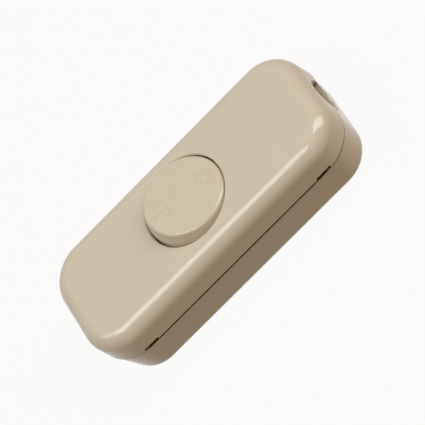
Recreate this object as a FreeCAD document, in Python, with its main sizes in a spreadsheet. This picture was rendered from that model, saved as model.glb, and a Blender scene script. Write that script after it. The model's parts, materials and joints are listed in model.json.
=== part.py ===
"""Two-pole inline cord switch with a round rocker button.

Millimetres. The origin is the centre of the flat underside. +X runs along the casing towards the
end where the button is pressed down (the O side), +Z points up, out of the button.
"""

import FreeCAD, Part
import math
import os

import Sketcher

doc = FreeCAD.newDocument("cord_switch")
sheet = doc.addObject("Spreadsheet::Sheet", "Sizes")

# Every size that can be set by itself. Each has its own cell, and every piece reads the cells.
DRIVING_SIZES = (
    # The two-part casing
    ("casing_length", 82.0, "cover at the seam, along X"),
    ("casing_width", 34.0, "cover at the seam, along Y"),
    ("corner_radius", 10.5, "corners of the cover in plan, at the seam"),
    ("base_height", 12.2, "underside to seam"),
    ("cover_height", 9.5, "seam to the flat top"),
    ("base_wall", 2.0, "side walls of the base at the seam"),
    ("base_floor", 2.0, "floor of the base"),
    ("cover_wall", 2.2, "side walls of the cover at the seam"),
    ("cover_top", 2.2, "flat top of the cover"),
    ("base_draft", 8.2, "slope of the base's sides, degrees"),
    ("cover_draft", 0.9, "slope of the cover's sides, degrees"),
    ("base_inset", 0.2, "how far the base stands back under the cover's edge"),
    ("top_rounding", 4.5, "outer top edge of the cover"),
    ("bottom_rounding", 3.5, "outer bottom edge of the base"),
    ("lip_height", 1.5, "tongue of the base inside the cover"),
    ("lip_thickness", 1.1, "the same tongue, across"),
    ("lip_gap", 0.15, "tongue to cover, all round"),
    ("seam_gap", 0.3, "relief in the cover's rim along both long sides"),
    ("shelf_gap", 0.45, "relief in the base's rim, below the other"),
    ("notch_inset", 9.1, "pry notch's far end, from the end of the casing"),
    ("notch_length", 4.6, "pry notch along X"),
    ("notch_height", 0.85, "pry notch above the seam"),
    # Cord inlets
    ("inlet_radius", 4.3, "round cord hole, half in the base and half in the cover"),
    ("inlet_flare", 0.6, "how much wider the mouth of the cord hole is, radial"),
    ("inlet_flare_length", 1.75, "flared stretch of the cord hole"),
    ("collar_inset", 4.6, "inner face of the wall that guides the cord, from the end of the casing"),
    ("collar_width", 13.0, "that wall along Y"),
    # Rocker button
    ("opening_radius", 11.75, "round opening in the cover"),
    ("opening_bevel", 0.3, "edge of that opening"),
    ("button_radius", 11.4, "round button"),
    ("button_rounding", 2.3, "top edge of the button"),
    ("button_rise", 1.3, "middle of the button above the cover"),
    ("button_top", 1.8, "thickness of the button's top"),
    ("button_wall", 1.5, "thickness of the button's skirt"),
    ("button_skirt", 3.0, "skirt below the pivot"),
    ("button_tilt", 11.1, "tilt of the button either way, degrees"),
    ("pivot_depth", 2.8, "pivot below the cover's top"),
    ("pivot_radius", 1.2, "pivot pins of the button"),
    ("pivot_length", 1.8, "pivot pin outside the button's skirt"),
    ("pivot_clearance", 0.06, "radial clearance of the pivot pins"),
    ("bearing_gap", 0.5, "button's skirt to bearing"),
    ("bearing_width", 1.4, "bearing along the pivot"),
    ("bearing_side", 1.2, "bearing material beside the pin"),
    ("bearing_throat", 2.0, "snap-in slot under the pin"),
    # Spring plungers in the button
    ("pole_offset", 4.6, "each pole from the middle plane"),
    ("plunger_radius", 1.5, "guided part of the plunger"),
    ("plunger_clearance", 0.1, "plunger to its tube"),
    ("plunger_tip", 1.0, "rounded tip of the plunger"),
    ("plunger_head", 4.0, "back end of the plunger below the pivot"),
    ("tube_wall", 0.7, "wall of the plunger's tube"),
    ("tube_reach", 6.5, "mouth of the tube below the pivot"),
    ("tube_bore_top", 1.0, "closed end of the tube above the pivot"),
    ("spring_wire", 0.22, "radius of the spring's wire, which has six flats"),
    ("spring_turns", 3.0, "turns of the spring"),
    ("spring_play", 0.28, "outside of the spring to its tube"),
    # Rocking contact levers
    ("lever_length", 17.0, "contact lever along X"),
    ("lever_width", 3.8, "contact lever and strips along Y"),
    ("lever_thickness", 0.8, "contact lever"),
    ("lever_tilt", 8.0, "tilt of the lever either way, degrees"),
    ("lever_level", 8.6, "underside of the level lever above the underside of the casing"),
    ("contact_gap", 0.05, "working clearance between pieces that bear on each other"),
    ("contact_inset", 1.5, "moving contact from the lever's end"),
    ("contact_radius", 1.5, "head of the contact rivets"),
    ("contact_dome", 0.5, "dome of the moving contact"),
    ("contact_collar", 0.2, "straight edge of the moving contact's head"),
    ("contact_head", 0.6, "head of the fixed contact"),
    ("contact_shank", 0.8, "radius of the rivets' shanks"),
    ("rivet_play", 0.03, "rivet shank to its hole"),
    ("rivet_upset", 0.3, "closing head of the moving contact"),
    # Strips, terminals and their carrier
    ("strip_thickness", 0.8, "brass strips"),
    ("strip_bend", 0.9, "outside radius of the strips' bends"),
    ("shelf_spare", 1.9, "fixed contact strip beyond its contact, before the step down"),
    ("terminal_place", 18.0, "middle of the terminals, from the middle"),
    ("terminal_length", 7.0, "terminal block along X"),
    ("terminal_width", 5.0, "terminal block along Y"),
    ("terminal_height", 6.6, "terminal block"),
    ("wire_hole_radius", 1.35, "hole for a stripped core"),
    ("wire_hole_height", 2.6, "that hole above the bottom of the block"),
    ("carrier_thickness", 1.6, "floor plate of the carrier"),
    ("carrier_rim", 0.2, "floor plate of the carrier outside what it carries"),
    ("barrier_thickness", 1.2, "wall between the poles"),
    ("barrier_height", 9.5, "that wall above the casing's floor"),
    ("stop_inset", 0.7, "middle of the rest stop, from the lever's end"),
    ("stop_length", 2.6, "rest stop along X"),
    ("peg_radius", 0.8, "locating pegs under the carrier"),
    ("peg_height", 1.2, "the same pegs"),
    ("peg_place", 11.5, "the same pegs from the middle, along X"),
    ("peg_side", 1.8, "the same pegs from the middle, along Y"),
    # Earth terminal
    ("earth_gap", 1.5, "earth terminal to the base's side wall, at the seam"),
    ("earth_length", 12.0, "earth terminal along X"),
    ("earth_width", 4.0, "earth terminal along Y"),
    ("earth_height", 6.0, "earth terminal"),
    ("earth_seat", 1.0, "seat of the earth terminal above the casing's floor"),
    ("earth_cheek", 0.9, "cheeks at both ends of the earth terminal"),
    ("earth_screw_place", 3.5, "earth screws from the middle"),
    # Cord clamps
    ("clamp_inset", 9.5, "cord clamps from the end of the casing"),
    ("clamp_length", 6.0, "clamp bar along X"),
    ("clamp_width", 20.6, "clamp bar along Y"),
    ("clamp_thickness", 2.0, "clamp bar"),
    ("clamp_arch", 3.3, "inside radius of the clamp's arch"),
    ("clamp_boss_radius", 2.6, "bosses under the clamp"),
    ("clamp_screw_offset", 7.6, "clamp screws from the middle plane"),
    ("saddle_radius", 3.8, "cord cradle in the base"),
    ("saddle_length", 3.6, "cord cradle along X"),
    ("saddle_width", 11.0, "cord cradle along Y"),
    ("saddle_drop", 2.2, "top of the cord cradle below the seam"),
    ("saddle_spare", 1.0, "cut of the cradle's round beyond the clamp"),
    # Screws
    ("screw_play", 0.05, "screw shank to its thread hole, radial"),
    ("hole_play", 0.25, "screw shank to its through hole, radial"),
    ("screw_slot", 0.7, "driver slot across"),
    ("slot_depth", 0.8, "driver slot"),
    ("terminal_screw_radius", 1.25, "headless terminal screw"),
    ("terminal_screw_length", 3.6, "headless terminal screw"),
    ("terminal_screw_lift", 0.2, "end of the open terminal screw above the hole for the core"),
    ("clamp_screw_radius", 1.4, "clamp screw shank"),
    ("clamp_screw_head", 2.5, "clamp screw head, radius"),
    ("clamp_screw_head_height", 1.7, "clamp screw head"),
    ("clamp_screw_length", 8.0, "clamp screw shank"),
    ("cover_screw_radius", 1.3, "cover screw shank"),
    ("cover_screw_head", 2.4, "cover screw head, radius"),
    ("cover_screw_head_height", 1.7, "cover screw head"),
    ("cover_screw_length", 12.0, "cover screw shank"),
    ("cover_screw_inset", 16.0, "cover screws from the ends of the casing"),
    ("cover_screw_side", 6.2, "cover screws from the sides of the casing"),
    ("counterbore_radius", 2.6, "counterbore under the casing"),
    ("counterbore_depth", 3.0, "the same counterbore"),
    ("pillar_radius", 3.4, "screw pillar of the base"),
    ("pillar_height", 7.8, "top of that pillar above the underside"),
    ("cover_boss_radius", 2.4, "screw boss of the cover"),
    ("boss_bore_spare", 1.0, "thread hole beyond the screw's end"),
)


class Size:
    """A length or angle: its present value, and the same thing as an expression of the sheet."""

    def __init__(self, value, text):
        self.value = value
        self.text = text

    def __add__(self, other):
        other = as_size(other)
        return Size(self.value + other.value, f"({self.text} + {other.text})")

    def __sub__(self, other):
        other = as_size(other)
        return Size(self.value - other.value, f"({self.text} - {other.text})")

    def __mul__(self, other):
        other = as_size(other)
        return Size(self.value * other.value, f"({self.text} * {other.text})")

    def __truediv__(self, other):
        other = as_size(other)
        return Size(self.value / other.value, f"({self.text} / {other.text})")

    def __neg__(self):
        return Size(-self.value, f"(0 - {self.text})")

    __radd__ = __add__
    __rmul__ = __mul__


def as_size(number):
    """A plain number as a size, so that both mix in one formula."""
    if isinstance(number, Size):
        return number
    return Size(float(number), repr(float(number)))


def sine(angle):
    """Sine of an angle in degrees."""
    return Size(math.sin(math.radians(angle.value)), f"sin({angle.text})")


def cosine(angle):
    """Cosine of an angle in degrees."""
    return Size(math.cos(math.radians(angle.value)), f"cos({angle.text})")


def tangent(angle):
    """Tangent of an angle in degrees."""
    return Size(math.tan(math.radians(angle.value)), f"tan({angle.text})")


def root(area):
    """Square root."""
    return Size(math.sqrt(area.value), f"sqrt({area.text})")


class Sizes:
    """The sheet's cells by name."""


def fill_sheet():
    """Writes the driving sizes to the sheet and gives each one its name."""
    sizes = Sizes()
    for row, (name, value, meaning) in enumerate(DRIVING_SIZES, start=1):
        sheet.set(f"A{row}", meaning)
        sheet.set(f"B{row}", str(value))
        sheet.setAlias(f"B{row}", name)
        setattr(sizes, name, Size(float(value), f"Sizes.{name}"))
    doc.recompute()
    return sizes


S = fill_sheet()
ZERO = as_size(0)
AXIS_X = FreeCAD.Vector(1, 0, 0)
AXIS_Y = FreeCAD.Vector(0, 1, 0)
AXIS_Z = FreeCAD.Vector(0, 0, 1)
POLES = (("line", 1), ("neutral", -1))
ENDS = (("in", -1), ("out", 1))
HALF_TURN = "half turn"
pieces = []

# Levels and places that follow from the driving sizes
half_length = S.casing_length / 2
half_width = S.casing_width / 2
cover_level = S.base_height + S.cover_height
cover_ceiling = cover_level - S.cover_top
collar_place = half_length - S.collar_inset
clamp_place = half_length - S.clamp_inset
clamp_level = S.base_height
earth_offset = half_width - S.base_inset - S.base_wall - S.earth_gap - S.earth_width / 2
pivot_level = cover_level - S.pivot_depth
plunger_reach = pivot_level - S.lever_level - S.lever_thickness - S.contact_gap
tube_bore = S.plunger_radius + S.plunger_clearance
carrier_level = S.base_floor + S.carrier_thickness
strip_level = carrier_level + S.strip_thickness
dome_radius = (S.contact_radius * S.contact_radius + S.contact_dome * S.contact_dome) / (2 * S.contact_dome)
dome_centre = dome_radius - S.contact_dome - S.contact_collar
contact_reach = S.lever_length / 2 - S.contact_inset
closed_contact = (
    S.lever_level
    - contact_reach * sine(S.lever_tilt)
    + dome_centre * cosine(S.lever_tilt)
    - dome_radius
)
fixed_contact_place = contact_reach * cosine(S.lever_tilt) + dome_centre * sine(S.lever_tilt)
fixed_contact_level = closed_contact - S.contact_gap
shelf_level = fixed_contact_level - S.contact_head
riser_place = fixed_contact_place + S.contact_radius + S.shelf_spare
stop_place = S.lever_length / 2 - S.stop_inset
lever_dip = (stop_place + S.stop_length / 2) * tangent(S.lever_tilt)
stop_level = S.lever_level - lever_dip - S.contact_gap
strip_end = S.terminal_place + S.terminal_length / 2


def bind(thing, **formulas):
    """Ties properties of an object to formulas of the sheet."""
    for name, size in formulas.items():
        thing.setExpression(name, as_size(size).text)


def place(thing, x=ZERO, y=ZERO, z=ZERO, axis=None, angle=ZERO):
    """Puts an object at a place that follows the sheet, turned about one axis."""
    x, y, z, angle = (as_size(size) for size in (x, y, z, angle))
    turn = FreeCAD.Rotation(axis or AXIS_Z, angle.value)
    thing.Placement = FreeCAD.Placement(FreeCAD.Vector(x.value, y.value, z.value), turn)
    thing.setExpression("Placement.Base.x", x.text)
    thing.setExpression("Placement.Base.y", y.text)
    thing.setExpression("Placement.Base.z", z.text)
    if axis is not None:
        thing.setExpression("Placement.Rotation.Angle", angle.text)


def finished(thing, name):
    """Names a finished piece and keeps it for writing."""
    thing.Label = name
    pieces.append(thing)
    return thing


def new_body(name):
    """An empty body for one piece."""
    return finished(doc.addObject("PartDesign::Body", name), name)


def sketch_on(body, role, lift=ZERO):
    """An empty sketch on one of the body's own planes, moved along that plane's normal."""
    sketch = body.newObject("Sketcher::SketchObject", "outline")
    plane = [item for item in body.Origin.OriginFeatures if item.Role == role][0]
    sketch.AttachmentSupport = [(plane, "")]
    sketch.MapMode = "FlatFace"
    sketch.setExpression("AttachmentOffset.Base.z", as_size(lift).text)
    return sketch


def hold(sketch, kind, element, point, size):
    """Fixes one coordinate of a point in a sketch to a size."""
    number = sketch.addConstraint(Sketcher.Constraint(kind, element, point, size.value))
    name = f"c{number}"
    sketch.renameConstraint(number, name)
    sketch.setExpression(f"Constraints.{name}", size.text)


def hold_radius(sketch, element, size):
    """Fixes the radius of an arc or a circle in a sketch to a size."""
    number = sketch.addConstraint(Sketcher.Constraint("Radius", element, size.value))
    name = f"c{number}"
    sketch.renameConstraint(number, name)
    sketch.setExpression(f"Constraints.{name}", size.text)


def draw_circle(sketch, x, y, radius):
    """A circle in a sketch."""
    x, y, radius = (as_size(size) for size in (x, y, radius))
    centre = FreeCAD.Vector(x.value, y.value, 0)
    element = sketch.addGeometry(Part.Circle(centre, AXIS_Z, radius.value))
    hold(sketch, "DistanceX", element, 3, x)
    hold(sketch, "DistanceY", element, 3, y)
    hold_radius(sketch, element, radius)


def arc_between(start, end, radius, bend):
    """The arc of a radius from start to end. bend 1 turns left along the way, bend -1 turns right."""
    chord = end - start
    middle = (start + end) * 0.5
    across = FreeCAD.Vector(-chord.y, chord.x, 0).normalize() * bend
    inward = math.sqrt(max(radius * radius - chord.Length * chord.Length / 4, 0.0))
    centre = middle + across * inward
    bulge = centre - across * radius
    return Part.Arc(start, bulge, end)


def draw_outline(sketch, corners):
    """A closed outline. A corner is (x, y), or (x, y, radius, bend) where an arc leads to the next one.

    An arc whose radius is HALF_TURN is the half circle between two corners at one level.
    """
    corners = [(as_size(corner[0]), as_size(corner[1]), *corner[2:]) for corner in corners]
    points = [FreeCAD.Vector(corner[0].value, corner[1].value, 0) for corner in corners]
    first = sketch.GeometryCount
    count = len(corners)
    starts = []
    for index, corner in enumerate(corners):
        start = points[index]
        end = points[(index + 1) % count]
        bend = corner[3] if len(corner) > 2 else 0
        if bend == 0:
            sketch.addGeometry(Part.LineSegment(start, end))
        elif corner[2] is HALF_TURN:
            sketch.addGeometry(arc_between(start, end, (end - start).Length / 2, bend))
        else:
            sketch.addGeometry(arc_between(start, end, corner[2].value, bend))
        # A sketch keeps every arc anticlockwise, so one that bends right starts at its far end.
        starts.append(2 if bend < 0 else 1)
    for index, corner in enumerate(corners):
        following = (index + 1) % count
        element = first + index
        end_point = 3 - starts[index]
        joint = Sketcher.Constraint("Coincident", element, end_point, first + following, starts[following])
        sketch.addConstraint(joint)
        hold(sketch, "DistanceX", element, starts[index], corner[0])
        hold(sketch, "DistanceY", element, starts[index], corner[1])
        if len(corner) > 2 and corner[2] is HALF_TURN:
            hold(sketch, "DistanceY", element, 3, corner[1])
        elif len(corner) > 2:
            hold_radius(sketch, element, corner[2])


def draw_box(sketch, x_low, y_low, x_high, y_high):
    """A rectangle in a sketch."""
    draw_outline(sketch, [(x_low, y_low), (x_high, y_low), (x_high, y_high), (x_low, y_high)])


def draw_plan(sketch, half_x, half_y, radius):
    """The casing's plan: a rectangle with round corners about the origin."""
    x_straight = half_x - radius
    y_straight = half_y - radius
    draw_outline(sketch, [
        (-x_straight, -half_y),
        (x_straight, -half_y, radius, 1),
        (half_x, -y_straight),
        (half_x, y_straight, radius, 1),
        (x_straight, half_y),
        (-x_straight, half_y, radius, 1),
        (-half_x, y_straight),
        (-half_x, -y_straight, radius, 1),
    ])


def pad(body, sketch, length, draft=None, both_ways=False, backwards=False):
    """Material from a sketch. A positive draft widens it."""
    feature = body.newObject("PartDesign::Pad", "pad")
    feature.Profile = sketch
    bind(feature, Length=length)
    if draft is not None:
        bind(feature, TaperAngle=draft)
    if both_ways:
        feature.SideType = "Symmetric"
    feature.Reversed = backwards
    doc.recompute()
    return feature


def pocket(body, sketch, depth, draft=None, upwards=False, both_ways=False):
    """A cut from a sketch, against its normal unless it goes upwards. It has to remove something."""
    before = body.Shape.Volume
    feature = body.newObject("PartDesign::Pocket", "pocket")
    feature.Profile = sketch
    bind(feature, Length=depth)
    if draft is not None:
        bind(feature, TaperAngle=draft)
    if both_ways:
        feature.SideType = "Symmetric"
    feature.Reversed = upwards
    doc.recompute()
    if body.Shape.Volume >= before:
        raise RuntimeError(f"a cut in {body.Label} removes nothing")
    return feature


def edges_where(feature, test):
    """Names of the feature's edges that pass a test."""
    return [f"Edge{number}" for number, edge in enumerate(feature.Shape.Edges, start=1) if test(edge)]


def at_level(level):
    """A test for edges that lie flat at a height."""
    def test(edge):
        box = edge.BoundBox
        return abs(box.ZMin - level.value) < 1e-4 and abs(box.ZMax - level.value) < 1e-4
    return test


def fillet(body, feature, radius, test):
    """Rounds the feature's edges that pass a test."""
    rounding = body.newObject("PartDesign::Fillet", "fillet")
    rounding.Base = (feature, edges_where(feature, test))
    bind(rounding, Radius=radius)
    doc.recompute()
    return rounding


def turn_profile(body, corners):
    """A turned solid about the body's Z axis. Corners are (radius, height)."""
    sketch = sketch_on(body, "XZ_Plane")
    draw_outline(sketch, corners)
    feature = body.newObject("PartDesign::Revolution", "turned")
    feature.Profile = sketch
    feature.ReferenceAxis = (sketch, ["V_Axis"])
    feature.Angle = 360
    doc.recompute()
    return feature


def block(name, low, high):
    """A box between two corners."""
    box = doc.addObject("Part::Box", name)
    sizes = [(as_size(a), as_size(b)) for a, b in zip(low, high)]
    bind(box, Length=sizes[0][1] - sizes[0][0], Width=sizes[1][1] - sizes[1][0])
    bind(box, Height=sizes[2][1] - sizes[2][0])
    place(box, *(pair[0] for pair in sizes))
    return box


def rod(name, radius, length, x=ZERO, y=ZERO, z=ZERO, along=None):
    """A cylinder that starts at a point and runs up, or along +X."""
    cylinder = doc.addObject("Part::Cylinder", name)
    bind(cylinder, Radius=radius, Height=length)
    if along == "x":
        place(cylinder, x, y, z, AXIS_Y, as_size(90))
    else:
        place(cylinder, x, y, z)
    return cylinder


def cut(name, solid, tools):
    """A solid without the tools."""
    tool = tools[0]
    if len(tools) > 1:
        tool = doc.addObject("Part::MultiFuse", f"{name}_tools")
        tool.Shapes = tools
    result = doc.addObject("Part::Cut", name)
    result.Base = solid
    result.Tool = tool
    return result


def join(name, solids):
    """Several solids as one."""
    result = doc.addObject("Part::MultiFuse", name)
    result.Shapes = solids
    result.Refine = True
    return result


def cord_hole(body):
    """Cuts both cord holes along the casing, with a flared mouth at each end."""
    sketch = sketch_on(body, "XZ_Plane")
    narrow = S.base_height + S.inlet_radius
    wide = narrow + S.inlet_flare
    straight = half_length - S.inlet_flare_length
    draw_outline(sketch, [
        (-half_length, S.base_height),
        (half_length, S.base_height),
        (half_length, wide),
        (straight, narrow),
        (-straight, narrow),
        (-half_length, wide),
    ])
    before = body.Shape.Volume
    groove = body.newObject("PartDesign::Groove", "cord_holes")
    groove.Profile = sketch
    axis = sketch.addGeometry(Part.LineSegment(
        FreeCAD.Vector(-half_length.value, S.base_height.value, 0),
        FreeCAD.Vector(half_length.value, S.base_height.value, 0)), True)
    sketch.addConstraint(Sketcher.Constraint("Coincident", axis, 1, 0, 1))
    sketch.addConstraint(Sketcher.Constraint("Coincident", axis, 2, 0, 2))
    groove.ReferenceAxis = (sketch, ["Axis0"])
    groove.Angle = 360
    doc.recompute()
    if body.Shape.Volume >= before:
        raise RuntimeError(f"the cord holes in {body.Label} remove nothing")
    return groove


def draw_collars(sketch, outer):
    """Plan of the inner cord walls at both ends, out to a distance from the middle."""
    half = (outer - collar_place) / 2
    for end in (-1, 1):
        middle = end * (collar_place + outer) / 2
        draw_box(sketch, middle - half, -S.collar_width / 2, middle + half, S.collar_width / 2)


def screw_corners(side):
    """Plan position of a cover screw: one at each end, on opposite sides."""
    return side * (half_length - S.cover_screw_inset), side * (half_width - S.cover_screw_side)


def base_shell():
    """Lower half of the casing: a drafted tray with a tongue, pillars, bosses and seats inside."""
    body = new_body("base_shell")
    lean = S.base_height * tangent(S.base_draft)
    inset = S.base_inset + lean
    sketch = sketch_on(body, "XY_Plane")
    draw_plan(sketch, half_length - inset, half_width - inset, S.corner_radius - inset)
    outside = pad(body, sketch, S.base_height, draft=S.base_draft)
    fillet(body, outside, S.bottom_rounding, at_level(ZERO))

    # The hollow
    inset = S.base_inset + S.base_wall
    sketch = sketch_on(body, "XY_Plane", S.base_height)
    draw_plan(sketch, half_length - inset, half_width - inset, S.corner_radius - inset)
    pocket(body, sketch, S.base_height - S.base_floor, draft=-S.base_draft)

    # The tongue that enters the cover
    sketch = sketch_on(body, "XY_Plane", S.base_height)
    outer = inset - S.lip_thickness
    draw_plan(sketch, half_length - outer, half_width - outer, S.corner_radius - outer)
    draw_plan(sketch, half_length - inset, half_width - inset, S.corner_radius - inset)
    pad(body, sketch, S.lip_height)

    # Outside the tongue the rim is lower along both long sides
    straight = half_length - S.corner_radius
    sketch = sketch_on(body, "XY_Plane", S.base_height)
    for side in (-1, 1):
        middle = side * half_width
        draw_box(sketch, -straight, middle - outer, straight, middle + outer)
    pocket(body, sketch, S.shelf_gap)

    # A second wall behind each cord hole guides the cord
    sketch = sketch_on(body, "XY_Plane", S.base_floor)
    draw_collars(sketch, half_length - S.base_inset - S.base_wall + S.lip_gap)
    pad(body, sketch, S.base_height - S.base_floor)
    cord_hole(body)

    # Screw pillars, clamp bosses and locating pegs stand on the floor
    sketch = sketch_on(body, "XY_Plane", S.base_floor)
    for side in (-1, 1):
        draw_circle(sketch, *screw_corners(side), S.pillar_radius)
    pad(body, sketch, S.pillar_height - S.base_floor)
    sketch = sketch_on(body, "XY_Plane", S.base_floor)
    for end in (-1, 1):
        for side in (-1, 1):
            draw_circle(sketch, end * clamp_place, side * S.clamp_screw_offset, S.clamp_boss_radius)
    pad(body, sketch, clamp_level - S.base_floor)
    sketch = sketch_on(body, "XY_Plane", S.base_floor)
    for side in (-1, 1):
        draw_circle(sketch, side * S.peg_place, side * S.peg_side, S.peg_radius)
    pad(body, sketch, S.peg_height)

    # Cord cradles, one behind each cord hole
    sketch = sketch_on(body, "XY_Plane", S.base_floor)
    for end in (-1, 1):
        low = end * clamp_place - S.saddle_length / 2
        draw_box(sketch, low, -S.saddle_width / 2, low + S.saddle_length, S.saddle_width / 2)
    pad(body, sketch, S.base_height - S.base_floor - S.saddle_drop)
    for end in (-1, 1):
        sketch = sketch_on(body, "YZ_Plane", end * clamp_place)
        draw_circle(sketch, ZERO, S.base_height, S.saddle_radius)
        pocket(body, sketch, S.clamp_length + S.saddle_spare, both_ways=True)

    # Seat and cheeks of the earth terminal
    seat_half = S.earth_length / 2 + S.contact_gap
    cheek_half = seat_half + S.earth_cheek
    near = -earth_offset + S.earth_width / 2
    far = -earth_offset - S.earth_width / 2
    sketch = sketch_on(body, "XY_Plane", S.base_floor)
    draw_box(sketch, -cheek_half, far, cheek_half, near)
    pad(body, sketch, S.earth_seat)
    sketch = sketch_on(body, "XY_Plane", S.base_floor)
    for end in (-1, 1):
        low = end * (seat_half + S.earth_cheek / 2) - S.earth_cheek / 2
        draw_box(sketch, low, far, low + S.earth_cheek, near)
    pad(body, sketch, S.earth_seat + S.wire_hole_height / 2)

    # Screw holes: counterbored from below through the pillars, blind in the clamp bosses
    sketch = sketch_on(body, "XY_Plane")
    for side in (-1, 1):
        draw_circle(sketch, *screw_corners(side), S.counterbore_radius)
    pocket(body, sketch, S.counterbore_depth, upwards=True)
    sketch = sketch_on(body, "XY_Plane")
    for side in (-1, 1):
        draw_circle(sketch, *screw_corners(side), S.cover_screw_radius + S.hole_play)
    pocket(body, sketch, S.pillar_height, upwards=True)
    sketch = sketch_on(body, "XY_Plane", clamp_level)
    for end in (-1, 1):
        for side in (-1, 1):
            radius = S.clamp_screw_radius + S.screw_play
            draw_circle(sketch, end * clamp_place, side * S.clamp_screw_offset, radius)
    pocket(body, sketch, S.clamp_screw_length - S.clamp_thickness + S.boss_bore_spare)
    return body


def top_cover():
    """Upper half of the casing, with the round opening, the button's bearings and the screw bosses."""
    body = new_body("top_cover")
    sketch = sketch_on(body, "XY_Plane", S.base_height)
    draw_plan(sketch, half_length, half_width, S.corner_radius)
    outside = pad(body, sketch, S.cover_height, draft=-S.cover_draft)
    fillet(body, outside, S.top_rounding, at_level(cover_level))

    # The hollow, and the step in the rim that takes the base's tongue
    sketch = sketch_on(body, "XY_Plane", S.base_height)
    wall = S.cover_wall
    draw_plan(sketch, half_length - wall, half_width - wall, S.corner_radius - wall)
    pocket(body, sketch, S.cover_height - S.cover_top, draft=-S.cover_draft, upwards=True)
    sketch = sketch_on(body, "XY_Plane", S.base_height)
    rim = S.base_inset + S.base_wall - S.lip_thickness - S.lip_gap
    draw_plan(sketch, half_length - rim, half_width - rim, S.corner_radius - rim)
    pocket(body, sketch, S.lip_height + S.lip_gap, upwards=True)

    # Screw bosses reach down to the base's pillars
    sketch = sketch_on(body, "XY_Plane", S.pillar_height)
    for side in (-1, 1):
        draw_circle(sketch, *screw_corners(side), S.cover_boss_radius)
    pad(body, sketch, cover_ceiling - S.pillar_height + S.cover_top / 2)
    sketch = sketch_on(body, "XY_Plane", S.pillar_height)
    for side in (-1, 1):
        draw_circle(sketch, *screw_corners(side), S.cover_screw_radius + S.screw_play)
    seat = S.counterbore_depth
    pocket(body, sketch, seat + S.cover_screw_length + S.boss_bore_spare - S.pillar_height, upwards=True)

    # Snap-in bearings for the button's pivot pins
    bore = S.pivot_radius + S.pivot_clearance
    bearing_half = bore + S.bearing_side
    bearing_bottom = pivot_level - bearing_half
    near = S.button_radius + S.bearing_gap
    far = near + S.bearing_width
    sketch = sketch_on(body, "XY_Plane", bearing_bottom)
    for side in (-1, 1):
        middle = side * (near + far) / 2
        draw_box(sketch, -bearing_half, middle - S.bearing_width / 2,
                 bearing_half, middle + S.bearing_width / 2)
    pad(body, sketch, cover_ceiling - bearing_bottom + S.cover_top / 4)

    # The round opening comes after the bearings, and its edge is slightly bevelled
    sketch = sketch_on(body, "XY_Plane", cover_level)
    draw_circle(sketch, ZERO, ZERO, S.opening_radius)
    opening = pocket(body, sketch, S.cover_top + S.bearing_side)
    at_top = at_level(cover_level)
    reach = S.opening_radius.value + 0.1
    bevel = body.newObject("PartDesign::Chamfer", "bevel")
    bevel.Base = (opening, edges_where(opening, lambda edge: at_top(edge) and edge.BoundBox.XMax < reach))
    bind(bevel, Size=S.opening_bevel)
    doc.recompute()
    for side in (-1, 1):
        sketch = sketch_on(body, "XZ_Plane", side * (near + far) / 2)
        draw_circle(sketch, ZERO, pivot_level, bore)
        pocket(body, sketch, S.bearing_width + 2 * S.bearing_gap, both_ways=True)
        sketch = sketch_on(body, "XZ_Plane", side * (near + far) / 2)
        draw_box(sketch, -S.bearing_throat / 2, bearing_bottom - S.bearing_gap,
                 S.bearing_throat / 2, pivot_level)
        pocket(body, sketch, S.bearing_width + S.bearing_gap, both_ways=True)

    # Relief along both long sides, and four notches for prying the cover off
    straight = half_length - S.corner_radius
    sketch = sketch_on(body, "XY_Plane", S.base_height)
    for side in (-1, 1):
        middle = side * half_width
        draw_box(sketch, -straight, middle - rim, straight, middle + rim)
    pocket(body, sketch, S.seam_gap, upwards=True)
    sketch = sketch_on(body, "XY_Plane", S.base_height)
    for side in (-1, 1):
        for end in (-1, 1):
            middle = end * (half_length - S.notch_inset - S.notch_length / 2)
            draw_box(sketch, middle - S.notch_length / 2, side * half_width - rim,
                     middle + S.notch_length / 2, side * half_width + rim)
    pocket(body, sketch, S.notch_height, upwards=True)

    # The upper halves of the inner cord walls: inside the base's tongue, and joined to the end above it
    sketch = sketch_on(body, "XY_Plane", S.base_height)
    draw_collars(sketch, half_length - S.base_inset - S.base_wall - S.lip_gap)
    pad(body, sketch, S.cover_height - S.cover_top / 2)
    step = S.lip_height + S.lip_gap
    sketch = sketch_on(body, "XY_Plane", S.base_height + step)
    draw_collars(sketch, half_length - S.cover_wall + S.lip_gap)
    pad(body, sketch, S.cover_height - S.cover_top * 3 / 4 - step)
    cord_hole(body)
    return body


def rocker_button():
    """Round button: a filleted cap with two pivot pins, and a tube for each spring plunger."""
    body = new_body("rocker_button")
    top = S.pivot_depth + S.button_rise
    inside = S.button_radius - S.button_wall
    ceiling = top - S.button_top
    turn_profile(body, [
        (ZERO, ceiling),
        (inside, ceiling),
        (inside, -S.button_skirt),
        (S.button_radius, -S.button_skirt),
        (S.button_radius, top - S.button_rounding, S.button_rounding, 1),
        (S.button_radius - S.button_rounding, top),
        (ZERO, top),
    ])
    for side in (-1, 1):
        start = S.button_radius - S.button_wall / 2
        sketch = sketch_on(body, "XZ_Plane", side * start)
        draw_circle(sketch, ZERO, ZERO, S.pivot_radius)
        pad(body, sketch, S.button_wall / 2 + S.pivot_length, backwards=side < 0)
    sketch = sketch_on(body, "XY_Plane", -S.tube_reach)
    for _, side in POLES:
        draw_circle(sketch, ZERO, side * S.pole_offset, tube_bore + S.tube_wall)
    pad(body, sketch, S.tube_reach + ceiling)
    sketch = sketch_on(body, "XY_Plane", -S.tube_reach)
    for _, side in POLES:
        draw_circle(sketch, ZERO, side * S.pole_offset, tube_bore)
    pocket(body, sketch, S.tube_reach + S.tube_bore_top, upwards=True)
    place(body, z=pivot_level, axis=AXIS_Y, angle=S.button_tilt)
    return body


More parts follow.
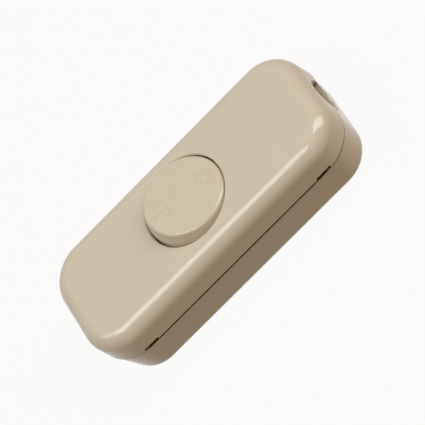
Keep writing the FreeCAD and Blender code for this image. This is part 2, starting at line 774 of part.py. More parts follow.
def plunger(name, side):
    """Plunger that runs in the button's tube and presses on the lever with its rounded tip."""
    body = new_body(f"plunger_{name}")
    turn_profile(body, [
        (ZERO, -plunger_reach, S.plunger_tip, 1),
        (S.plunger_tip, -plunger_reach + S.plunger_tip),
        (S.plunger_radius, -plunger_reach + 2 * S.plunger_tip),
        (S.plunger_radius, -S.plunger_head),
        (ZERO, -S.plunger_head),
    ])
    place(body, y=side * S.pole_offset, z=pivot_level, axis=AXIS_Y, angle=S.button_tilt)


def plunger_spring(name, side):
    """Coil spring between the closed end of the tube and the plunger."""
    mean_radius = tube_bore - S.spring_play - S.spring_wire
    height = S.tube_bore_top + S.plunger_head - 2 * S.spring_wire - 2 * S.contact_gap
    helix = doc.addObject("Part::Helix", f"spring_path_{name}")
    bind(helix, Radius=mean_radius, Height=height, Pitch=height / S.spring_turns)
    section = doc.addObject("Part::RegularPolygon", f"spring_section_{name}")
    section.Polygon = 6
    bind(section, Circumradius=S.spring_wire)
    place(section, x=mean_radius, axis=AXIS_X, angle=as_size(90))
    spring = doc.addObject("Part::Sweep", f"plunger_spring_{name}")
    spring.Sections = [section]
    spring.Spine = (helix, [])
    spring.Solid = True
    spring.Frenet = True
    low = S.plunger_head - S.spring_wire - S.contact_gap
    tilt = S.button_tilt
    place(spring, x=-low * sine(tilt), y=side * S.pole_offset, z=pivot_level - low * cosine(tilt),
          axis=AXIS_Y, angle=tilt)
    finished(spring, f"plunger_spring_{name}")


def contact_lever(name, side):
    """Flat copper lever that rocks on the knife edge of the centre contact."""
    half = S.lever_width / 2
    strip = block(f"lever_strip_{name}", (-S.lever_length / 2, -half, ZERO),
                  (S.lever_length / 2, half, S.lever_thickness))
    hole = rod(f"lever_hole_{name}", S.contact_shank + S.rivet_play, S.lever_thickness, x=contact_reach)
    lever = cut(f"contact_lever_{name}", strip, [hole])
    place(lever, y=side * S.pole_offset, z=S.lever_level, axis=AXIS_Y, angle=-S.lever_tilt)
    finished(lever, f"contact_lever_{name}")


def moving_contact(name, side):
    """Silver rivet in the lever, with a domed head below and a closing head above."""
    body = new_body(f"moving_contact_{name}")
    top = S.lever_thickness + S.rivet_upset
    turn_profile(body, [
        (ZERO, -S.contact_collar - S.contact_dome, dome_radius, 1),
        (S.contact_radius, -S.contact_collar),
        (S.contact_radius, ZERO),
        (S.contact_shank, ZERO),
        (S.contact_shank, S.lever_thickness),
        (S.contact_radius - S.rivet_upset, S.lever_thickness),
        (S.contact_radius - S.rivet_upset, top),
        (ZERO, top),
    ])
    tilt = S.lever_tilt
    place(body, x=contact_reach * cosine(tilt), y=side * S.pole_offset,
          z=S.lever_level + contact_reach * sine(tilt), axis=AXIS_Y, angle=-tilt)


def strip_body(name, side, corners):
    """A bent brass strip: its edge-on outline, padded to the strip's width."""
    body = new_body(name)
    sketch = sketch_on(body, "XZ_Plane")
    draw_outline(sketch, corners)
    pad(body, sketch, S.lever_width, both_ways=True)
    place(body, y=side * S.pole_offset)
    return body


def centre_contact(name, side):
    """Strip from the terminal to the lever, bent up into the lever's knife edge."""
    half = S.strip_thickness / 2
    bend = S.strip_bend
    inner = bend - S.strip_thickness
    shoulder = S.lever_level - S.contact_gap - half
    strip_body(f"centre_contact_{name}", side, [
        (-strip_end, carrier_level),
        (half - bend, carrier_level, bend, 1),
        (half, carrier_level + bend),
        (half, shoulder, HALF_TURN, 1),
        (-half, shoulder),
        (-half, carrier_level + bend, inner, -1),
        (half - bend, strip_level),
        (-strip_end, strip_level),
    ])


def fixed_contact(name, side):
    """Strip from the other terminal, stepped up to carry the fixed silver contact."""
    start = fixed_contact_place - S.contact_radius - S.strip_thickness
    bend = S.strip_bend
    outer = riser_place + S.strip_thickness
    body = strip_body(f"fixed_contact_{name}", side, [
        (start, shelf_level - S.strip_thickness),
        (riser_place, shelf_level - S.strip_thickness),
        (riser_place, carrier_level + bend, bend, 1),
        (riser_place + bend, carrier_level),
        (strip_end, carrier_level),
        (strip_end, strip_level),
        (outer, strip_level),
        (outer, shelf_level - bend, bend, 1),
        (outer - bend, shelf_level),
        (start, shelf_level),
    ])
    sketch = sketch_on(body, "XY_Plane", shelf_level)
    draw_circle(sketch, fixed_contact_place, ZERO, S.contact_shank + S.rivet_play)
    pocket(body, sketch, S.strip_thickness)


def fixed_rivet(name, side):
    """Silver rivet in the fixed contact strip."""
    body = new_body(f"fixed_rivet_{name}")
    turn_profile(body, [
        (ZERO, -S.strip_thickness),
        (S.contact_shank, -S.strip_thickness),
        (S.contact_shank, ZERO),
        (S.contact_radius, ZERO),
        (S.contact_radius, S.contact_head),
        (ZERO, S.contact_head),
    ])
    place(body, x=fixed_contact_place, y=side * S.pole_offset, z=shelf_level)


def terminal(name, low, high, screw_places):
    """Brass terminal block: a hole for the core along X, and threaded holes from above."""
    solid = block(f"{name}_block", low, high)
    middle = (as_size(low[1]) + high[1]) / 2
    wire_level = as_size(low[2]) + S.wire_hole_height
    tools = [rod(f"{name}_bore", S.wire_hole_radius, as_size(high[0]) - low[0],
                 low[0], middle, wire_level, along="x")]
    for number, x in enumerate(screw_places):
        radius = S.terminal_screw_radius + S.screw_play
        tools.append(rod(f"{name}_thread_{number}", radius, as_size(high[2]) - wire_level,
                         x, middle, wire_level))
    finished(cut(name, solid, tools), name)


def driver_slot(body, top, radius):
    """Cuts the driver slot across the top of a screw."""
    sketch = sketch_on(body, "XY_Plane", top)
    reach = radius + S.screw_slot
    draw_box(sketch, -reach, -S.screw_slot / 2, reach, S.screw_slot / 2)
    pocket(body, sketch, S.slot_depth)


def screw(name, radius, length, head, head_height):
    """Slotted screw with its head's underside at the origin."""
    body = new_body(name)
    turn_profile(body, [
        (ZERO, -length),
        (radius, -length),
        (radius, ZERO),
        (head, ZERO),
        (head, head_height),
        (ZERO, head_height),
    ])
    driver_slot(body, head_height, head)
    return body


def terminal_screw(name, x, y, wire_level):
    """Headless terminal screw, not yet done up: its end is just above the hole for the core."""
    body = new_body(name)
    turn_profile(body, [
        (ZERO, ZERO),
        (S.terminal_screw_radius, ZERO),
        (S.terminal_screw_radius, S.terminal_screw_length),
        (ZERO, S.terminal_screw_length),
    ])
    driver_slot(body, S.terminal_screw_length, S.terminal_screw_radius)
    place(body, x, y, wire_level + S.wire_hole_radius + S.terminal_screw_lift)


def pole_terminals(name, side):
    """Both terminals of one pole, on the ends of its strips."""
    top = strip_level + S.terminal_height
    for end, direction in ENDS:
        middle = direction * S.terminal_place
        near = side * S.pole_offset - S.terminal_width / 2
        low = (middle - S.terminal_length / 2, near, strip_level)
        high = (middle + S.terminal_length / 2, near + S.terminal_width, top)
        terminal(f"terminal_{name}_{end}", low, high, [middle])
        terminal_screw(f"terminal_screw_{name}_{end}", middle, side * S.pole_offset,
                       strip_level + S.wire_hole_height)


def earth_terminal():
    """Through terminal that joins the earth cores of both cords, past the switch."""
    half = S.earth_length / 2
    bottom = S.base_floor + S.earth_seat
    low = (-half, -earth_offset - S.earth_width / 2, bottom)
    high = (half, -earth_offset + S.earth_width / 2, bottom + S.earth_height)
    places = [direction * S.earth_screw_place for _, direction in ENDS]
    terminal("earth_terminal", low, high, places)
    for (end, _), x in zip(ENDS, places):
        terminal_screw(f"earth_screw_{end}", x, -earth_offset, bottom + S.wire_hole_height)


def contact_carrier():
    """Moulded block under both poles: floor plate, wall between the poles, shelves and rest stops."""
    half_x = strip_end
    half_y = S.pole_offset + S.terminal_width / 2 + S.carrier_rim
    waist = S.pole_offset + S.lever_width / 2 + S.carrier_rim
    shoulder = S.terminal_place - S.terminal_length / 2 - S.carrier_rim
    half_wall = S.barrier_thickness / 2
    floor = S.base_floor
    solids = [
        block("carrier_plate", (-half_x, -waist, floor), (half_x, waist, carrier_level)),
        block("carrier_wall", (-half_x, -half_wall, floor), (half_x, half_wall, floor + S.barrier_height)),
    ]
    for end, direction in ENDS:
        middle = direction * (shoulder + half_x) / 2
        reach = (half_x - shoulder) / 2
        solids.append(block(f"carrier_end_{end}", (middle - reach, -half_y, floor),
                            (middle + reach, half_y, carrier_level)))
    shelf_low = fixed_contact_place - S.contact_radius - S.strip_thickness
    shelf_high = riser_place - S.contact_gap
    shelf_top = shelf_level - S.strip_thickness
    stop_low = -stop_place - S.stop_length / 2
    stop_foot = strip_level + 2 * S.contact_gap
    stop_far = S.pole_offset + S.lever_width / 2
    for name, side in POLES:
        inner, outer = sorted((side * S.pole_offset - S.lever_width / 2,
                               side * S.pole_offset + S.lever_width / 2), key=lambda size: size.value)
        solids.append(block(f"shelf_{name}", (shelf_low, inner, floor), (shelf_high, outer, shelf_top)))
        near, far = sorted((ZERO, side * stop_far), key=lambda size: size.value)
        solids.append(block(f"stop_{name}", (stop_low, near, stop_foot),
                            (stop_low + S.stop_length, far, stop_level)))
    holes = []
    for side in (-1, 1):
        holes.append(rod(f"peg_hole_{side}", S.peg_radius + S.contact_gap, S.peg_height + S.contact_gap,
                         side * S.peg_place, side * S.peg_side, floor))
    finished(cut("contact_carrier", join("carrier_solids", solids), holes), "contact_carrier")


def cord_clamp(name, end):
    """Arched bar that holds the cord's sheath down on its cradle."""
    body = new_body(f"cord_clamp_{name}")
    half = S.clamp_width / 2
    outer = S.clamp_arch + S.clamp_thickness
    shoulder = root(outer * outer - S.clamp_thickness * S.clamp_thickness)
    sketch = sketch_on(body, "YZ_Plane")
    draw_outline(sketch, [
        (-half, ZERO),
        (-S.clamp_arch, ZERO, HALF_TURN, -1),
        (S.clamp_arch, ZERO),
        (half, ZERO),
        (half, S.clamp_thickness),
        (shoulder, S.clamp_thickness, outer, 1),
        (-shoulder, S.clamp_thickness),
        (-half, S.clamp_thickness),
    ])
    pad(body, sketch, S.clamp_length, both_ways=True)
    sketch = sketch_on(body, "XY_Plane")
    for side in (-1, 1):
        draw_circle(sketch, ZERO, side * S.clamp_screw_offset, S.clamp_screw_radius + S.hole_play)
    pocket(body, sketch, S.clamp_thickness, upwards=True)
    place(body, x=end * clamp_place, z=clamp_level)
    for number, side in enumerate((-1, 1), start=1):
        body = screw(f"clamp_screw_{name}_{number}", S.clamp_screw_radius, S.clamp_screw_length,
                     S.clamp_screw_head, S.clamp_screw_head_height)
        place(body, end * clamp_place, side * S.clamp_screw_offset, clamp_level + S.clamp_thickness)


def cover_screws():
    """Two screws that hold the cover, put in from below."""
    for number, side in enumerate((-1, 1), start=1):
        body = screw(f"cover_screw_{number}", S.cover_screw_radius, S.cover_screw_length,
                     S.cover_screw_head, S.cover_screw_head_height)
        place(body, *screw_corners(side), S.counterbore_depth, AXIS_X, as_size(180))


def write_parts():
    """Checks every object and every piece, then writes one file for each piece."""
    doc.recompute()
    for thing in doc.Objects:
        if "Invalid" in thing.State or "Error" in thing.State:
            raise RuntimeError(f"{thing.Label} failed: {thing.State}")
    for piece in pieces:
        shape = piece.Shape
        if shape.isNull() or not shape.isValid() or len(shape.Solids) != 1:
            raise RuntimeError(f"{piece.Label} isn't one valid solid")
    os.makedirs("parts", exist_ok=True)
    for piece in pieces:
        piece.Shape.exportStep(f"parts/{piece.Label}.step")
    print(f"{len(pieces)} pieces written")


base_shell()
top_cover()
rocker_button()
contact_carrier()
for pole_name, pole_side in POLES:
    plunger(pole_name, pole_side)
    plunger_spring(pole_name, pole_side)
    contact_lever(pole_name, pole_side)
    moving_contact(pole_name, pole_side)
    centre_contact(pole_name, pole_side)
    fixed_contact(pole_name, pole_side)
    fixed_rivet(pole_name, pole_side)
    pole_terminals(pole_name, pole_side)
earth_terminal()
for end_name, end_side in ENDS:
    cord_clamp(end_name, end_side)
cover_screws()
write_parts()
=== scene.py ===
# %% [markdown]
# The inline cord switch, dressed for its portrait.
# The real thing is a small two-part box of moulded plastic that sits in the middle of a lamp's
# cord. A round rocker button in its top tilts to one side for on and to the other for off.
# The imported model already holds every piece at its real size, so this script adds only looks:
# the softened edges of the mouldings, the fine profile of the button's cap, the marks on it, a
# material for each piece, and a small studio. It also gives two hidden springs finished copies.
# Everything is in metres, and the switch lies on the floor at height zero with +Z up.

# %% Load the imported model
import json
import math

import bmesh
import bpy
from mathutils import Matrix, Vector

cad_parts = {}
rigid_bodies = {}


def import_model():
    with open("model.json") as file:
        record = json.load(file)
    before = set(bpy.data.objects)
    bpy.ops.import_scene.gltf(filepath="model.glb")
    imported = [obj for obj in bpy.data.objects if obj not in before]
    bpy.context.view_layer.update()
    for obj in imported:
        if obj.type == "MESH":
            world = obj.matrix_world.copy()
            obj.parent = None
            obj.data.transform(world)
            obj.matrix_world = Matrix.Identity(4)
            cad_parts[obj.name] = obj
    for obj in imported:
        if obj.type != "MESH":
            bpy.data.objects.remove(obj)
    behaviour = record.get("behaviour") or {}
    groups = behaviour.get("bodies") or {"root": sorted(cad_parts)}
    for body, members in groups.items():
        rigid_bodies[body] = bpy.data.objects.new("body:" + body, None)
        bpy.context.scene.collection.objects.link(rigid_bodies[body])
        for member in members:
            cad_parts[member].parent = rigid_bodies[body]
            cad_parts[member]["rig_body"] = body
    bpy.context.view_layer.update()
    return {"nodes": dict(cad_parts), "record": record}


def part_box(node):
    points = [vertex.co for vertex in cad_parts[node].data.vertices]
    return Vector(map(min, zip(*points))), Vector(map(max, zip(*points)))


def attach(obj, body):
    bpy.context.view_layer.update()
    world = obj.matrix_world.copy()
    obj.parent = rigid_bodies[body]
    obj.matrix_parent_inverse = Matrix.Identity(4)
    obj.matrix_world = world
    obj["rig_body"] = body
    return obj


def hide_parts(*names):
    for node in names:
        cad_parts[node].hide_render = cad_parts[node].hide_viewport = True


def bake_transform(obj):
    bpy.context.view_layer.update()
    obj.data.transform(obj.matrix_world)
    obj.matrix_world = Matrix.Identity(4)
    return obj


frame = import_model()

MM = 0.001

# %% [markdown]
# Colours are written as a designer would read them off a swatch, in hex sRGB. Shaders add up light,
# so they need linear values, and one function does that step for all of them.
# A second function adds a node and wires it, which keeps each material short enough to read.

# %% Colours and nodes
def linear(swatch):
    """A hex sRGB colour as the linear RGBA that shaders work in."""
    channels = [int(swatch[start:start + 2], 16) / 255 for start in (1, 3, 5)]
    curve = [value / 12.92 if value <= 0.04045 else ((value + 0.055) / 1.055) ** 2.4 for value in channels]
    return (*curve, 1.0)


def add_node(tree, kind, inputs=None, **settings):
    """Adds a node to a tree: inputs are values or other nodes' outputs, settings its own properties."""
    node = tree.nodes.new(kind)
    for name, value in settings.items():
        setattr(node, name, value)
    for name, value in (inputs or {}).items():
        if isinstance(value, bpy.types.NodeSocket):
            tree.links.new(value, node.inputs[name])
        else:
            node.inputs[name].default_value = value
    return node


def per_mm(size):
    """The scale of a pattern whose features are this many millimetres across."""
    return 1 / (size * MM)


print("mid grey in linear light:", round(linear("#808080")[0], 3))

# %% [markdown]
# Most of this switch is moulded or machined, and both kinds of surface vary in the same three ways:
# a colour that drifts a little, a gloss that is not quite even, and a fine unevenness of the skin.
# One recipe makes all three from noise of a real size, and each material gives it its own numbers.
# A grain that runs along one axis, as on drawn or sawn metal, comes from a Mapping node that
# stretches the noise. Noise seldom leaves the middle of its range, so the gloss is spread over the
# part between DRIFT_LOW and DRIFT_HIGH.

# %% One recipe for a made surface
DRIFT_LOW, DRIFT_HIGH = 0.3, 0.7


def make_surface(name, light, dark, drift_mm, roughness, skin_mm, skin_height_mm,
                 stretch=(1, 1, 1), **constants):
    """A material whose colour, gloss and skin vary at real sizes. constants go on the shader itself."""
    material = bpy.data.materials.new(name)
    material.use_nodes = True
    tree = material.node_tree
    tree.nodes.clear()
    place = add_node(tree, "ShaderNodeTexCoord")
    grain = add_node(tree, "ShaderNodeMapping", {"Vector": place.outputs["Object"], "Scale": stretch})
    drift = add_node(tree, "ShaderNodeTexNoise", {
        "Vector": grain.outputs["Vector"], "Scale": per_mm(drift_mm), "Detail": 3.0, "Roughness": 0.55})
    colour = add_node(tree, "ShaderNodeMix", {
        "Factor": drift.outputs["Fac"], "A": linear(dark), "B": linear(light)}, data_type="RGBA")
    skin = add_node(tree, "ShaderNodeTexNoise", {
        "Vector": grain.outputs["Vector"], "Scale": per_mm(skin_mm), "Detail": 2.0, "Roughness": 0.5})
    gloss = add_node(tree, "ShaderNodeMapRange", {
        "Value": drift.outputs["Fac"], "From Min": DRIFT_LOW, "From Max": DRIFT_HIGH,
        "To Min": roughness[0], "To Max": roughness[1]})
    bump = add_node(tree, "ShaderNodeBump", {
        "Height": skin.outputs["Fac"], "Distance": skin_height_mm * MM, "Strength": 1.0})
    shader = add_node(tree, "ShaderNodeBsdfPrincipled", {
        "Base Color": colour.outputs["Result"], "Roughness": gloss.outputs["Result"],
        "Normal": bump.outputs["Normal"], **constants})
    add_node(tree, "ShaderNodeOutputMaterial", {"Surface": shader.outputs["BSDF"]})
    print("material:", name)
    return material


# %% [markdown]
# The casing and the button are cream ABS, moulded in a polished tool. That gives an even colour,
# a clear but soft reflection, and the faint waviness of a moulded skin, which the eye sees only
# where a highlight runs along an edge. The button came out of another tool, polished a touch finer.

# %% Plastics
casing_abs = make_surface(
    "moulded_abs_cream_gloss", "#c9bca6", "#c4b7a1", 14.0, (0.15, 0.20), 2.2, 0.0016, IOR=1.50)
button_abs = make_surface(
    "moulded_abs_cream_button", "#c8bba3", "#c3b69e", 9.0, (0.13, 0.17), 1.6, 0.0012, IOR=1.50)

# %% [markdown]
# The seam of the real switch looks brown, not grey. Light that gets into the gap between two cream
# walls bounces many times, takes on their colour and dies away there, and this brown shade is painted
# into the casing's colour. A picture could hold it, but it is simpler to mix it in by place: the
# Object coordinates give a point's height, and how far it lies inside the casing's rounded
# outline. So only the walls at the seam's height turn brown with painted shade, just behind the
# outline: those of the gap, of its pry notches, and a short band in each cord hole.

# %% Where the painted shade of the seam lies
SEAM = 12.2 * MM
# Painted shade: the seam's brown goes into the casing's colour within these heights and depths.
SEAM_SHADE_HEIGHT = (SEAM - 0.55 * MM, SEAM + 0.90 * MM)
SEAM_SHADE_DEPTH = (0.2 * MM, 1.7 * MM)
PLAN_CORNER = 10.5 * MM
cover_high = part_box("top_cover")[1]
corner_centre = (cover_high.x - PLAN_CORNER, cover_high.y - PLAN_CORNER, 0)


def within(tree, value, limits):
    """One where a value lies between two limits, and nought elsewhere."""
    low, high = limits
    inside = add_node(tree, "ShaderNodeMath", {
        0: value, 1: (low + high) / 2, 2: (high - low) / 2}, operation="COMPARE")
    return inside.outputs[0]


def depth_inside(tree, place):
    """How far a point lies inside the casing's outline, which is a rectangle with round corners."""
    quarter = add_node(tree, "ShaderNodeVectorMath", {0: place}, operation="ABSOLUTE")
    beyond = add_node(tree, "ShaderNodeVectorMath", {
        0: quarter.outputs[0], 1: corner_centre}, operation="SUBTRACT")
    level = add_node(tree, "ShaderNodeVectorMath", {
        0: beyond.outputs[0], 1: (1, 1, 0)}, operation="MULTIPLY")
    outward = add_node(tree, "ShaderNodeVectorMath", {
        0: level.outputs[0], 1: (0, 0, 0)}, operation="MAXIMUM")
    reach = add_node(tree, "ShaderNodeVectorMath", {0: outward.outputs[0]}, operation="LENGTH")
    depth = add_node(tree, "ShaderNodeMath", {
        0: PLAN_CORNER, 1: reach.outputs["Value"]}, operation="SUBTRACT")
    return depth.outputs[0]


print("film from", [round(limit / MM, 2) for limit in SEAM_SHADE_HEIGHT], "mm above the table")

# %% [markdown]
# The two tests are multiplied, so that the painted shade shows only where both say one. It is
# mixed in between the clean colour and the shader, and the gloss and the skin of the moulding stay
# as they are.

# %% The brown of the seam
# Paints the shade of the seam gap into a material's colour.
def add_painted_seam_shade(material, painted_shade):
    """Mixes a painted shade into a material's colour, on the walls behind the casing's outline at the seam.
    """
    tree = material.node_tree
    shader = next(node for node in tree.nodes if node.type == "BSDF_PRINCIPLED")
    clean = shader.inputs["Base Color"].links[0].from_socket
    place = add_node(tree, "ShaderNodeTexCoord").outputs["Object"]
    height = add_node(tree, "ShaderNodeSeparateXYZ", {0: place}).outputs["Z"]
    share = add_node(tree, "ShaderNodeMath", {
        0: within(tree, height, SEAM_SHADE_HEIGHT),
        1: within(tree, depth_inside(tree, place), SEAM_SHADE_DEPTH)}, operation="MULTIPLY")
    mixed = add_node(tree, "ShaderNodeMix", {
        "Factor": share.outputs[0], "A": clean, "B": linear(painted_shade)}, data_type="RGBA")
    tree.links.new(mixed.outputs["Result"], shader.inputs["Base Color"])


# 7a5320 is the painted shade of the seam gap, not a colour of the plastic.
add_painted_seam_shade(casing_abs, "#7a5320")
print("film added to", casing_abs.name)

# %% [markdown]
# Three more plastics are inside. The carrier under the contacts is a phenolic thermoset, dark brown
# and dull, with the speckle of its wood-flour filler. The cord clamps are natural polyamide, waxy
# and slightly textured by the sparks that cut their tool. The plungers are turned acetal, smooth
# and slippery. They take the same recipe with other numbers.

# %% Plastics inside
carrier_phenolic = make_surface(
    "moulded_phenolic_brown", "#3b2a20", "#2a1d16", 0.6, (0.42, 0.58), 0.35, 0.006, IOR=1.62)
clamp_polyamide = make_surface(
    "moulded_polyamide_natural", "#e6e0d0", "#ded7c4", 4.0, (0.38, 0.48), 0.5, 0.008, IOR=1.53)
plunger_acetal = make_surface(
    "turned_acetal_white", "#ebe8e0", "#e4e0d6", 2.0, (0.28, 0.34), 0.2, 0.003, IOR=1.48)

# %% [markdown]
# The metals inside. Brass bar is sawn and drawn, so its grain runs along the strip and draws out
# its reflections. The copper levers are punched from rolled sheet and show the same fine lines.
# Silver contacts are headed from wire and tarnish a little, which dulls them in patches. The
# screws are zinc-plated steel, whose skin is a fine matt grey. Bare metal shows nothing but its
# tinted reflections, so all of them are fully metallic and keep the usual IOR. The real grain is a
# few hundredths of a millimetre wide, too fine to show, so it is drawn about three times as coarse.

# %% Metals
brass = make_surface(
    "drawn_brass", "#d9b264", "#c79c4c", 1.5, (0.26, 0.38), 0.15, 0.002, stretch=(0.15, 1, 1), Metallic=1.0)
copper = make_surface(
    "rolled_copper", "#d58a63", "#bf7350", 1.8, (0.28, 0.40), 0.15, 0.002, stretch=(0.15, 1, 1), Metallic=1.0)
silver = make_surface(
    "headed_silver", "#e4e1da", "#cfcabf", 0.8, (0.22, 0.34), 0.12, 0.002, Metallic=1.0)
spring_steel = make_surface(
    "drawn_spring_steel", "#b9bbbd", "#a3a5a8", 0.5, (0.22, 0.32), 0.1, 0.001, Metallic=1.0)
plated_steel = make_surface(
    "zinc_plated_steel", "#c9cbcd", "#b3b6b9", 0.9, (0.30, 0.44), 0.12, 0.003, Metallic=1.0)

# %% [markdown]
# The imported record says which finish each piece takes, by the name of a material slot. One table
# from slot to material keeps all the pieces of a kind alike.

# %% Which finish a piece takes
FINISHES = {
    "casing": casing_abs, "button": button_abs, "carrier": carrier_phenolic, "clamp": clamp_polyamide,
    "plunger": plunger_acetal, "brass": brass, "copper": copper, "silver": silver,
    "spring_steel": spring_steel, "screw": plated_steel,
}
slot_of = {row["node"]: row["material_slot"] for row in frame["record"]["subparts"]}
print(len(FINISHES), "finishes for", len(slot_of), "nodes")

# %% [markdown]
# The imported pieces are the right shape, but their meshes are loose triangles, so light would show
# every facet. The meshes themselves stay as they are. A Weld modifier joins the corners as it
# draws them, and a small Geometry Nodes tree shades everything smooth except the real edges. All
# pieces are dressed like this, and the few that show from outside get a finer copy further on.

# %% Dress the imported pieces
EDGE_ANGLE = math.radians(32)
WELD_DISTANCE = 0.0005 * MM


def build_shading_tree():
    """A node tree that shades smooth below an edge angle and sharp above it."""
    tree = bpy.data.node_groups.new("shade_by_angle", "GeometryNodeTree")
    tree.interface.new_socket("Geometry", in_out="INPUT", socket_type="NodeSocketGeometry")
    tree.interface.new_socket("Geometry", in_out="OUTPUT", socket_type="NodeSocketGeometry")
    limit = tree.interface.new_socket("Edge Angle", in_out="INPUT", socket_type="NodeSocketFloat")
    limit.default_value = EDGE_ANGLE
    source = add_node(tree, "NodeGroupInput")
    angle = add_node(tree, "GeometryNodeInputMeshEdgeAngle")
    smooth = add_node(tree, "FunctionNodeCompare", {
        "A": angle.outputs["Unsigned Angle"], "B": source.outputs["Edge Angle"]}, operation="LESS_EQUAL")
    faces = add_node(tree, "GeometryNodeSetShadeSmooth", {
        "Geometry": source.outputs["Geometry"], "Shade Smooth": True}, domain="FACE")
    edges = add_node(tree, "GeometryNodeSetShadeSmooth", {
        "Geometry": faces.outputs["Geometry"], "Shade Smooth": smooth.outputs["Result"]}, domain="EDGE")
    add_node(tree, "NodeGroupOutput", {"Geometry": edges.outputs["Geometry"]})
    return tree


shading_tree = build_shading_tree()


def dress(node):
    """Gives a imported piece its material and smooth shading."""
    thing = frame["nodes"][node]
    thing.data.materials.clear()
    thing.data.materials.append(FINISHES[slot_of[node]])
    weld = thing.modifiers.new("weld", "WELD")
    weld.merge_threshold = WELD_DISTANCE
    shading = thing.modifiers.new("shading", "NODES")
    shading.node_group = shading_tree


for node_name in slot_of:
    dress(node_name)
print("dressed:", len(slot_of), "pieces")

# %% [markdown]
# A moulded part has no knife edges: the tool's corners leave a tiny radius, and that radius is what
# catches the light along the seam and round the opening. So the pieces that show get a finished
# copy. Its triangles are merged into whole faces, the edges that show are picked by the angle
# between their faces, and a fine bevel rounds them. The copy keeps every inner wall and boss of the
# solid and stands for it. Weighted normals then keep the large faces even beside the small radii.

# %% Helpers for the finished copies
FLAT_ANGLE = math.radians(0.05)
BEVEL_STEPS = 3
FACE_WEIGHT = 100
body_of = {node: thing["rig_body"] for node, thing in frame["nodes"].items()}


def merged_copy(node):
    """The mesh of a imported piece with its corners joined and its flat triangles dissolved."""
    grown = bmesh.new()
    grown.from_mesh(frame["nodes"][node].data)
    bmesh.ops.remove_doubles(grown, verts=grown.verts, dist=WELD_DISTANCE)
    bmesh.ops.dissolve_limit(grown, angle_limit=FLAT_ANGLE, verts=grown.verts, edges=grown.edges)
    return grown


def finished_piece(node, name, shape):
    """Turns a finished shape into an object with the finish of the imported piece."""
    mesh = bpy.data.meshes.new(name)
    shape.to_mesh(mesh)
    shape.free()
    mesh.materials.append(FINISHES[slot_of[node]])
    mesh.shade_smooth()
    mesh.set_sharp_from_angle(angle=EDGE_ANGLE)
    piece = bpy.data.objects.new(name, mesh)
    bpy.context.scene.collection.objects.link(piece)
    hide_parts(node)
    print(name, "faces:", len(mesh.polygons))
    return piece


def stand_for(node, name, shape):
    """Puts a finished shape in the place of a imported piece, on the same body."""
    piece = finished_piece(node, name, shape)
    even = piece.modifiers.new("even_shading", "WEIGHTED_NORMAL")
    even.keep_sharp = True
    even.weight = FACE_WEIGHT
    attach(piece, body_of[node])


def soften(node, name, radius, shows, first=None):
    """A finished copy of a moulded piece, with a radius on the sharp edges that show."""
    shape = merged_copy(node)
    if first:
        first(shape)
    picked = []
    for edge in shape.edges:
        if len(edge.link_faces) == 2 and edge.calc_face_angle() > EDGE_ANGLE and shows(edge):
            picked.append(edge)
    bmesh.ops.bevel(shape, geom=picked, offset=radius, segments=BEVEL_STEPS, profile=0.5,
                    affect="EDGES", clamp_overlap=True, loop_slide=True)
    print(name, "edges softened:", len(picked))
    stand_for(node, name, shape)


print("bodies:", sorted(set(body_of.values())))

# %% [markdown]
# The cover and the base meet at the seam, 12.2 mm above the table. Only the edges that a finger could
# touch are softened: the rim of the opening, the two sides of the seam with its pry notches, the
# cord holes and the counterbores in the underside. Hidden edges stay as the solids have them.
# In the solids the two halves touch round the corners. Real mouldings never close that well, and a
# hairline is left, so the cover's rim is lifted there by a tenth of a millimetre.

# %% Cover and base
SHOWS_WITHIN = 1.3 * MM
RIM_WITHIN = 0.5 * MM
SEAM_WITHIN = 0.1 * MM
UNDERSIDE_WITHIN = 0.2 * MM
HOLE_FOOT = 4.0 * MM
COVER_EDGE = 0.12 * MM
BASE_EDGE = 0.16 * MM
HAIRLINE = 0.12 * MM
SAME_HEIGHT = 0.01 * MM
base_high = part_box("base_shell")[1]


def runs_outside(middle, high):
    """Whether an edge runs along the outer walls of a piece whose box is centred on the origin."""
    return abs(middle.x) > high.x - SHOWS_WITHIN or abs(middle.y) > high.y - SHOWS_WITHIN


def cover_edge_shows(edge):
    """The opening's rim, and what runs along the outside: the lower edge, the notches and the cord holes."""
    middle = (edge.verts[0].co + edge.verts[1].co) / 2
    on_top = middle.z > cover_high.z - RIM_WITHIN
    return on_top or (runs_outside(middle, cover_high) and middle.z > SEAM - SEAM_WITHIN)


def base_edge_shows(edge):
    """The upper edge below the seam, the cord holes and the counterbores in the underside."""
    middle = (edge.verts[0].co + edge.verts[1].co) / 2
    underneath = middle.z < UNDERSIDE_WITHIN
    return underneath or (runs_outside(middle, base_high) and HOLE_FOOT < middle.z < SEAM + SEAM_WITHIN)


def lift_rim(shape):
    """Lifts the part of the cover's rim that rests on the base."""
    for corner in shape.verts:
        if abs(corner.co.z - SEAM) < SAME_HEIGHT:
            corner.co.z += HAIRLINE


soften("top_cover", "cover_moulding", COVER_EDGE, cover_edge_shows, first=lift_rim)
soften("base_shell", "base_moulding", BASE_EDGE, base_edge_shows)

# %% [markdown]
# The button is a cap: a flat round top with a small radius at its edge, and a side wall that
# spreads a little towards its foot, as a moulding has to if it is to leave its tool. That small
# radius draws the thin bright arc round the top, and the steep wall below it stays in half shade.
# The solid has one large radius in their place. So the finer outline is worked out first: a
# straight wall from its foot up to the small radius, which it meets without a corner, and then
# that radius up to the flat top. Heights are counted from the pivot.

# %% The outline of the button's cap
CAP_TOP = 4.70 * MM
CAP_FLAT = 10.0 * MM
CAP_EDGE = 0.9 * MM
CAP_FOOT = 11.6 * MM
CAP_FOOT_HEIGHT = 1.3 * MM
wall_run = CAP_FOOT - CAP_FLAT
wall_drop = CAP_TOP - CAP_EDGE - CAP_FOOT_HEIGHT
edge_turn = math.atan2(wall_drop, wall_run) + math.asin(CAP_EDGE / math.hypot(wall_run, wall_drop))


